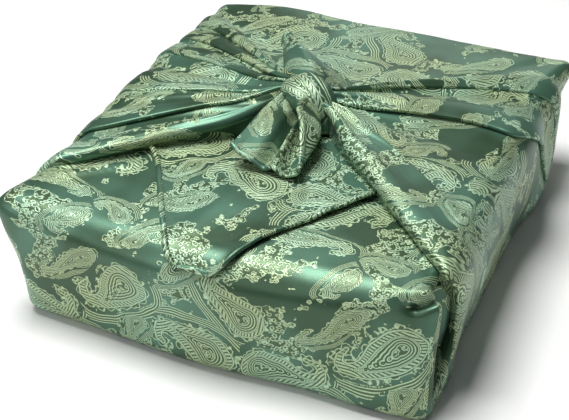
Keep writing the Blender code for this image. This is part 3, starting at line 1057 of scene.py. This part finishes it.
class Wire:
    """A node's output that can be used in a formula."""

    def __init__(self, tree, socket):
        self.tree = tree
        self.socket = socket

    def node(self, kind, settings=None, values=None, output=0):
        """Adds a node: its settings come first, then values or wires."""
        made = self.tree.nodes.new(kind)
        for name, value in (settings or {}).items():
            if name == "stops":
                ramp = made.color_ramp
                while len(ramp.elements) < len(value):
                    ramp.elements.new(0.5)
                for stop, (place, colour) in zip(ramp.elements, value):
                    stop.position = place
                    stop.color = colour
            else:
                setattr(made, name, value)
        for name, value in (values or {}).items():
            if isinstance(value, Wire):
                self.tree.links.new(value.socket, made.inputs[name])
            else:
                made.inputs[name].default_value = value
        return Wire(self.tree, made.outputs[output])

    def math(self, operation, *values):
        return self.node("ShaderNodeMath", {"operation": operation}, dict(enumerate(values)))

    def vector(self, operation, *values, output=0):
        settings = {"operation": operation}
        return self.node("ShaderNodeVectorMath", settings, dict(enumerate(values)), output)

    def __add__(self, other):
        return self.math("ADD", self, other)

    __radd__ = __add__

    def __sub__(self, other):
        return self.math("SUBTRACT", self, other)

    def __rsub__(self, other):
        return self.math("SUBTRACT", other, self)

    def __mul__(self, other):
        return self.math("MULTIPLY", self, other)

    __rmul__ = __mul__

    def __truediv__(self, other):
        return self.math("DIVIDE", self, other)

    def __neg__(self):
        return self.math("MULTIPLY", self, -1.0)

    def over(self, level, soft):
        """0 below the level and 1 above it, with a soft step."""
        values = {"Value": self, "From Min": level - soft, "From Max": level + soft}
        return self.node("ShaderNodeMapRange", {"clamp": True}, values)

    def between(self, low, high, soft):
        return self.over(low, soft) * (1 - self.over(high, soft))

    def or_else(self, other):
        """The greater of two masks."""
        return self.math("MAXIMUM", self, other)

    def mixed(self, kind, first, second):
        """First where this mask is 0, second where it is 1."""
        socket = {"RGBA": (6, 7, 2), "VECTOR": (4, 5, 1), "FLOAT": (2, 3, 0)}[kind]
        values = {0: self, socket[0]: first, socket[1]: second}
        return self.node("ShaderNodeMix", {"data_type": kind}, values, socket[2])


# %% [markdown]
# A paisley is a drop with a curled tip. The drop here is a chain of circles,
# from the fat end to the tip, melted together with a smooth minimum. The
# value that comes out is a distance to the outline, so its contour lines give
# the nested lines of a woven paisley for free.

# %% The paisley
# Circles of the drop. Columns: x, y, radius, in units of the fat end.
DROP = (
    (0.00, 0.00, 1.00),
    (0.10, 0.62, 0.80),
    (0.28, 1.16, 0.60),
    (0.42, 1.66, 0.45),
    (0.42, 2.10, 0.34),
    (0.18, 2.46, 0.26),
    (-0.20, 2.58, 0.20),
    (-0.54, 2.42, 0.16),
    (-0.68, 2.08, 0.12),
)
DROP_DISCS = 17
DROP_MIDDLE = (0.05, 0.80, 0.0)
MELT = 0.10


def drop_distance(local):
    """Distance to the outline of the drop, below 0 inside it."""
    nearest = None
    rows = np.array(DROP)
    steps = np.linspace(0, len(rows) - 1, DROP_DISCS)
    columns = [np.interp(steps, range(len(rows)), column) for column in rows.T]
    for x, y, radius in zip(*columns):
        away = local.vector("DISTANCE", local, (x, y, 0.0), output=1) - radius
        nearest = away if nearest is None else local.math("SMOOTH_MIN", nearest, away, MELT)
    return nearest


# %% [markdown]
# The repeat is a square of cloth that holds several drops of different size
# and direction. For each slot the shader works out the place relative to that
# drop, and keeps the slot that is nearest. So one detailed drop, computed
# once, serves all of them.

# %% The repeat
REPEAT = 0.190
# Slots. Columns: x and y in the repeat, turn in degrees, size across and
# along in metres; a minus size mirrors the drop. A narrow drop is a leaf.
SLOTS = (
    (0.073, 0.029, 251.6, 0.0165, 0.0165),
    (0.186, 0.183, 104.2, -0.0165, 0.0165),
    (0.126, 0.154, 57.9, 0.0165, 0.0165),
    (0.059, 0.186, 262.6, -0.0145, 0.0160),
    (0.026, 0.136, 147.9, 0.0145, 0.0160),
    (0.156, 0.039, 41.4, -0.0070, 0.0155),
    (0.094, 0.139, 50.8, 0.0070, 0.0155),
    (0.189, 0.107, 228.2, -0.0070, 0.0155),
    (0.060, 0.065, 275.4, 0.0070, 0.0155),
    (0.148, 0.094, 218.8, 0.0075, 0.0085),
    (0.092, 0.099, 31.8, -0.0075, 0.0085),
    (0.138, 0.185, 28.0, 0.0075, 0.0085),
    (0.117, 0.078, 100.1, -0.0075, 0.0085),
)


def nearest_drop(flat):
    """Place relative to the nearest drop of the repeat, in its own units."""
    best = None
    chosen = None
    for x, y, turn, wide, long in SLOTS:
        moved = flat.vector("SUBTRACT", flat, (x, y, 0.0))
        half = REPEAT / 2
        wrapped = flat.vector("WRAP", moved, (half, half, 1.0), (-half, -half, -1.0))
        values = {
            "Vector": wrapped,
            "Rotation": (0.0, 0.0, math.radians(turn)),
            "Scale": (wide, long, 1.0),
        }
        turned = flat.node("ShaderNodeMapping", {"vector_type": "TEXTURE"}, values)
        local = flat.vector("ADD", turned, DROP_MIDDLE)
        away = flat.vector("LENGTH", turned, output=1)
        if best is None:
            best, chosen = away, local
            continue
        closer = flat.math("LESS_THAN", away, best)
        chosen = closer.mixed("VECTOR", chosen, local)
        best = flat.math("MINIMUM", best, away)
    return chosen


# %% [markdown]
# Satin jacquard has two faces in one cloth. The ground is smooth satin, which
# shines; the figure is woven with lighter, yellower threads that shine less
# and stand a little proud. Mask, colour, roughness and bump all come from the
# same drawing, so they stay in register.

# %% The satin jacquard
GROUND_DEEP = (0.040, 0.092, 0.046, 1.0)
GROUND_LIGHT = (0.092, 0.212, 0.142, 1.0)
FIGURE_SHADE = (0.072, 0.125, 0.056, 1.0)
FIGURE_COOL = (0.50, 0.74, 0.52, 1.0)
FIGURE_WARM = (0.53, 0.66, 0.38, 1.0)
LOBE_SIZE = 0.0054
CURL_SIZE = 0.0036
CURL_RING = (0.22, 0.44)
LINE_PITCH = 0.124
HATCH_TURNS = 30.0


def shifted(flat, scale, reach):
    """The flat place moved about by noise, so that drawn lines are not even."""
    drift = {"Vector": flat, "Scale": scale, "Detail": 1.0}
    wobble = flat.node("ShaderNodeTexNoise", {"noise_dimensions": "2D"}, drift, 1)
    return flat.vector("MULTIPLY_ADD", wobble, (reach, reach, 0.0), flat)


def cloud(flat, scale, detail=0.0):
    """Smooth noise between 0 and 1 over the flat cloth."""
    values = {"Vector": flat, "Scale": scale, "Detail": detail}
    return flat.node("ShaderNodeTexNoise", {"noise_dimensions": "2D"}, values)


def cells(flat, size):
    """Distance to the middle of the nearest of many uneven cells."""
    values = {"Vector": flat, "Scale": 1.0 / size, "Randomness": 1.0}
    settings = {"voronoi_dimensions": "2D", "feature": "F1"}
    return flat.node("ShaderNodeTexVoronoi", settings, values)


def woven_figure(flat):
    """The figure's bright threads, and the area that its drawing fills."""
    bent = shifted(flat, 30.0, 0.0100)
    crumbled = shifted(flat, 330.0, 0.0030)
    local = nearest_drop(bent)
    away = drop_distance(local)
    side = flat.node("ShaderNodeSeparateXYZ", None, {0: local})
    lobe = cells(crumbled, LOBE_SIZE)
    curl = cells(crumbled, CURL_SIZE)
    lace = curl.between(*CURL_RING, 0.06)
    grain = cloud(flat, 620.0)
    inside = 1 - away.over(0.0, 0.012)
    outline = away.between(-0.05, 0.01, 0.012).or_else(away.between(-0.31, -0.27, 0.012))
    lines = flat.math("SINE", away * (2 * math.pi / LINE_PITCH)).over(0.22, 0.4)
    hatch = flat.math("SINE", (side + local_height(flat, local)) * HATCH_TURNS).over(-0.2, 0.5)
    band = away.between(-0.25, -0.07, 0.012) * hatch
    rings = lines * away.between(-0.74, -0.33, 0.012)
    core = (1 - away.over(-0.76, 0.012)) * lace
    drop = outline.or_else(band).or_else(rings).or_else(core)
    lobed = away + lobe * 0.34
    fringe = away.over(0.03, 0.012) * (1 - lobed.over(0.30, 0.02))
    fringe_line = lobed.between(0.21, 0.29, 0.02) * fringe
    leaf = away.between(0.34, 0.80, 0.012) * side.over(0.15, 0.05)
    outside = away.over(0.28, 0.01) * (1 - leaf)
    spread = cloud(bent, 30.0, 2.0) - lobe * 0.085
    spray = spread.over(0.505, 0.004) * outside
    spray_line = spread.between(0.505, 0.520, 0.004) * outside
    bright = drop.or_else(fringe_line).or_else(leaf * lines).or_else(spray * lace).or_else(spray_line)
    area = inside.or_else(fringe).or_else(leaf).or_else(spray)
    return bright * (0.70 + grain * 0.5), area * (0.75 + grain * 0.5)


def local_height(flat, local):
    return flat.node("ShaderNodeSeparateXYZ", None, {0: local}, 1)


def satin_jacquard():
    made = bpy.data.materials.new("satin jacquard")
    made.use_nodes = True
    tree = made.node_tree
    surface = tree.nodes["Principled BSDF"]
    start = tree.nodes.new("ShaderNodeUVMap")
    start.uv_map = "cloth"
    flat = Wire(tree, start.outputs[0])
    figure, area = woven_figure(flat)
    drift = cloud(flat, 14.0, 2.0)
    shift = drift.over(0.5, 0.14)
    ground = shift.mixed("RGBA", GROUND_DEEP, GROUND_LIGHT)
    threads = shift.mixed("RGBA", FIGURE_WARM, FIGURE_COOL)
    base = area.mixed("RGBA", ground, FIGURE_SHADE)
    colour = figure.mixed("RGBA", base, threads)
    tree.links.new(colour.socket, surface.inputs["Base Color"])
    rough_share = 0.40 + figure * 0.06
    shine = 0.55 - figure * 0.20
    tree.links.new(shine.socket, surface.inputs["Metallic"])
    tree.links.new(rough_share.socket, surface.inputs["Roughness"])
    weave = cloud(flat, 1400.0, 1.0)
    relief = figure * 0.8 + weave * 0.25
    bump = flat.node("ShaderNodeBump", None, {"Height": relief, "Strength": 0.55, "Distance": 0.00035})
    tree.links.new(bump.socket, surface.inputs["Normal"])
    surface.inputs["Sheen Weight"].default_value = 0.04
    surface.inputs["Sheen Roughness"].default_value = 0.4
    surface.inputs["Sheen Tint"].default_value = (0.75, 1.0, 0.85, 1.0)
    surface.inputs["Specular IOR Level"].default_value = 0.7
    return made


jacquard = satin_jacquard()
cloth.data.materials.append(jacquard)
print("jacquard nodes", len(jacquard.node_tree.nodes))

# %% [markdown]
# The hem is held by a row of small slanted stitches. Something that repeats
# along a line is Geometry Nodes work: the kept lines become curves, a point is
# set every few millimetres, and one small bead of thread is put on each point
# and turned along the line. Its sizes are inputs, so another cloth can have
# coarser stitches.

# %% The stitches of the hem
STITCH_SPACING = 0.0031
STITCH_LENGTH = 0.0021
STITCH_THICKNESS = 0.00055
STITCH_SLANT = 0.35
STITCH_SEED = 4
THREAD_COLOUR = (0.46, 0.58, 0.36, 1.0)


def thread_material():
    made = bpy.data.materials.new("sewing thread")
    made.use_nodes = True
    tree = made.node_tree
    surface = tree.nodes["Principled BSDF"]
    place = Wire(tree, tree.nodes.new("ShaderNodeTexCoord").outputs["Object"])
    twist = place.node("ShaderNodeTexNoise", None, {"Vector": place, "Scale": 900.0})
    colour = twist.over(0.5, 0.2).mixed("RGBA", FIGURE_SHADE, THREAD_COLOUR)
    tree.links.new(colour.socket, surface.inputs["Base Color"])
    surface.inputs["Roughness"].default_value = 0.5
    return made


def stitch_tree(thread):
    """Node tree that sews stitches along every line of a mesh."""
    tree = bpy.data.node_groups.new("hem stitches", "GeometryNodeTree")
    face = tree.interface
    face.new_socket(name="Lines", in_out="INPUT", socket_type="NodeSocketGeometry")
    for name in ("Spacing", "Length", "Thickness", "Slant"):
        face.new_socket(name=name, in_out="INPUT", socket_type="NodeSocketFloat")
    face.new_socket(name="Seed", in_out="INPUT", socket_type="NodeSocketInt")
    face.new_socket(name="Stitches", in_out="OUTPUT", socket_type="NodeSocketGeometry")
    given = Wire(tree, tree.nodes.new("NodeGroupInput").outputs["Lines"])
    sizes = {socket.name: Wire(tree, socket) for socket in given.socket.node.outputs if socket.name}
    curve = given.node("GeometryNodeMeshToCurve", None, {"Mesh": given})
    even = {"Curve": curve, "Length": sizes["Spacing"]}
    points = given.node("GeometryNodeResampleCurve", {"mode": "LENGTH"}, even)
    along = given.node("GeometryNodeInputTangent")
    turned = given.node("FunctionNodeAlignRotationToVector", {"axis": "X"}, {"Vector": along})
    spread = {"Min": sizes["Slant"] * 0.6, "Max": sizes["Slant"] * 1.4, "Seed": sizes["Seed"]}
    slant = given.node("FunctionNodeRandomValue", {"data_type": "FLOAT"}, spread, "Value")
    tilt = given.node("ShaderNodeCombineXYZ", None, {"Z": slant})
    in_place = {"rotation_space": "LOCAL"}
    slanted = given.node("FunctionNodeRotateRotation", in_place, {"Rotation": turned, "Rotate By": tilt})
    shape = given.node(
        "ShaderNodeCombineXYZ",
        None,
        {"X": sizes["Length"] * 0.5, "Y": sizes["Thickness"] * 0.5, "Z": sizes["Thickness"] * 0.5},
    )
    bead = given.node("GeometryNodeMeshIcoSphere", None, {"Radius": 1.0, "Subdivisions": 1})
    values = {"Points": points, "Instance": bead, "Rotation": slanted, "Scale": shape}
    placed = given.node("GeometryNodeInstanceOnPoints", None, values)
    real = given.node("GeometryNodeRealizeInstances", None, {"Geometry": placed})
    painted = given.node("GeometryNodeSetMaterial", None, {"Geometry": real, "Material": thread})
    result = tree.nodes.new("NodeGroupOutput")
    tree.links.new(painted.socket, result.inputs["Stitches"])
    return tree


def sew(name, lines, thread):
    points, edges = [], []
    for line in lines:
        first = len(points)
        points.extend(line.tolist())
        edges.extend((first + index, first + index + 1) for index in range(len(line) - 1))
    mesh = bpy.data.meshes.new(name)
    mesh.from_pydata(points, edges, [])
    made = bpy.data.objects.new(name, mesh)
    bpy.context.scene.collection.objects.link(made)
    nodes = made.modifiers.new("stitches", "NODES")
    tree = stitch_tree(thread)
    nodes.node_group = tree
    sizes = {
        "Spacing": STITCH_SPACING,
        "Length": STITCH_LENGTH,
        "Thickness": STITCH_THICKNESS,
        "Slant": STITCH_SLANT,
        "Seed": STITCH_SEED,
    }
    for socket in tree.interface.items_tree:
        if socket.name in sizes and socket.in_out == "INPUT":
            nodes[socket.identifier] = sizes[socket.name]
    finished = made.evaluated_get(bpy.context.evaluated_depsgraph_get())
    plain = bpy.data.meshes.new_from_object(finished)
    made.modifiers.clear()
    made.data = plain
    made.data.shade_smooth()
    return made


stitches = sew("hem_stitches", stitch_lines, thread_material())
print("stitch faces", len(stitches.data.polygons))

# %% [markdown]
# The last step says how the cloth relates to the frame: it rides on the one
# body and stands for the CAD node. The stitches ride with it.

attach(cloth, "root")
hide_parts("wrap_cloth")
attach(stitches, "root")
